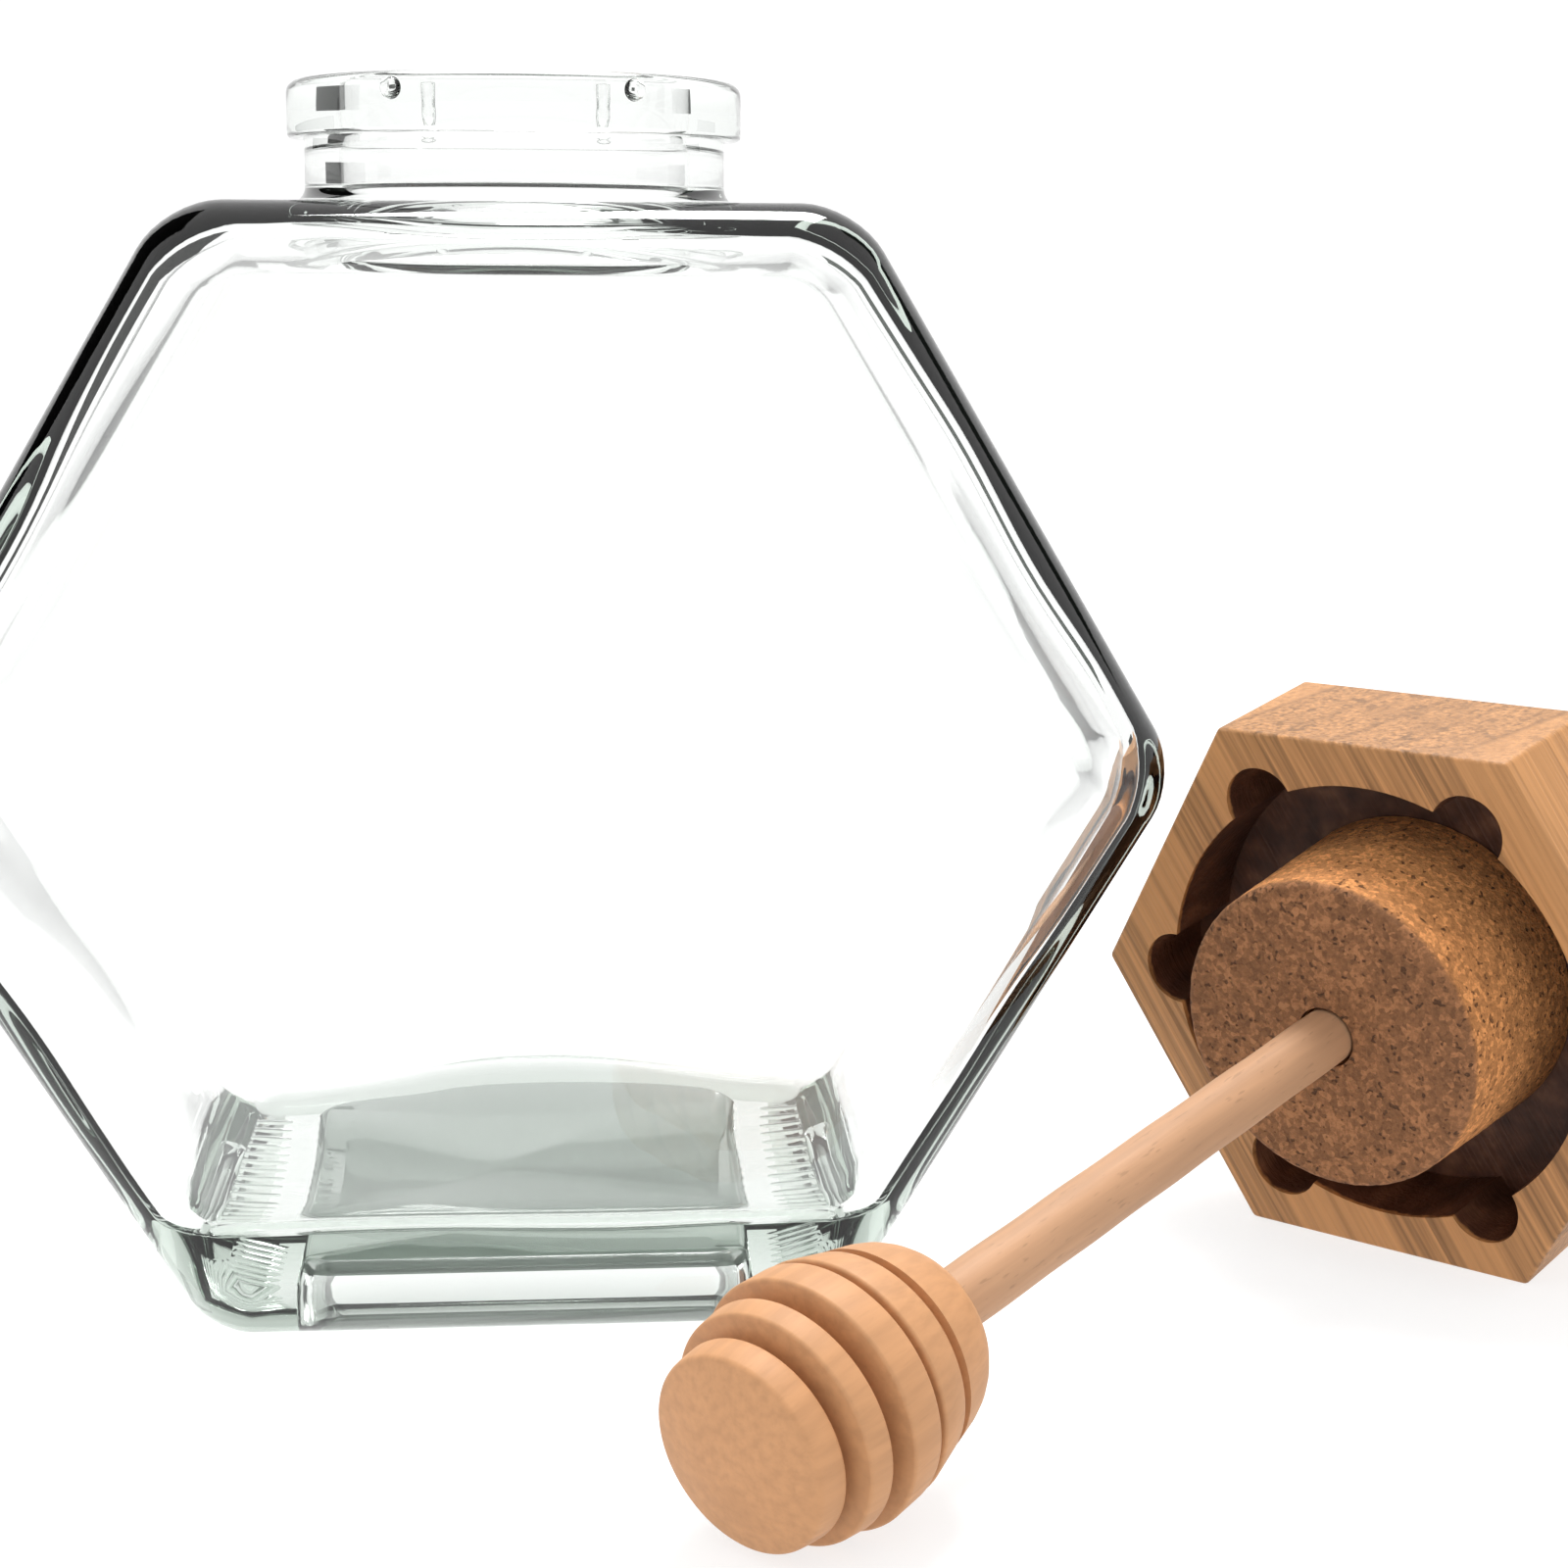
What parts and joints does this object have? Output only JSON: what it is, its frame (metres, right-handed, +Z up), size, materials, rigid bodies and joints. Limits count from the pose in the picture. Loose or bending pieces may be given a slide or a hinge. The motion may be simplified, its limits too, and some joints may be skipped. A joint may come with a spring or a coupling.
{
  "type": "honey jar with dipper lid",
  "caption": "Open hexagonal glass honey jar, with its hexagonal bamboo lid, cork plug and turned wooden honey dipper lying beside it.",
  "frame": {"origin": "middle of the set's footprint on the surface that it stands on", "axes": "+Z up, the jar's broad front looks along -Y, +X runs from the jar towards the lid"},
  "size_m": [0.1662, 0.1054, 0.1086],
  "materials": {
    "jar_glass": "clear pressed soda-lime glass, fire polished, faint green in its thick edges",
    "lid_bamboo": "laminated bamboo, sanded, with a burnt and milled recess",
    "plug_cork": "agglomerated cork, sanded, fine brown granules",
    "stick_beech": "bare beech dowel, pinkish",
    "head_beech": "bare turned beech, smooth"
  },
  "bodies": {
    "root": {"jar": "jar_glass", "lid": "lid_bamboo", "cork": "plug_cork", "dipper_stick": "stick_beech", "dipper_head": "head_beech"}
  },
  "joints": []
}
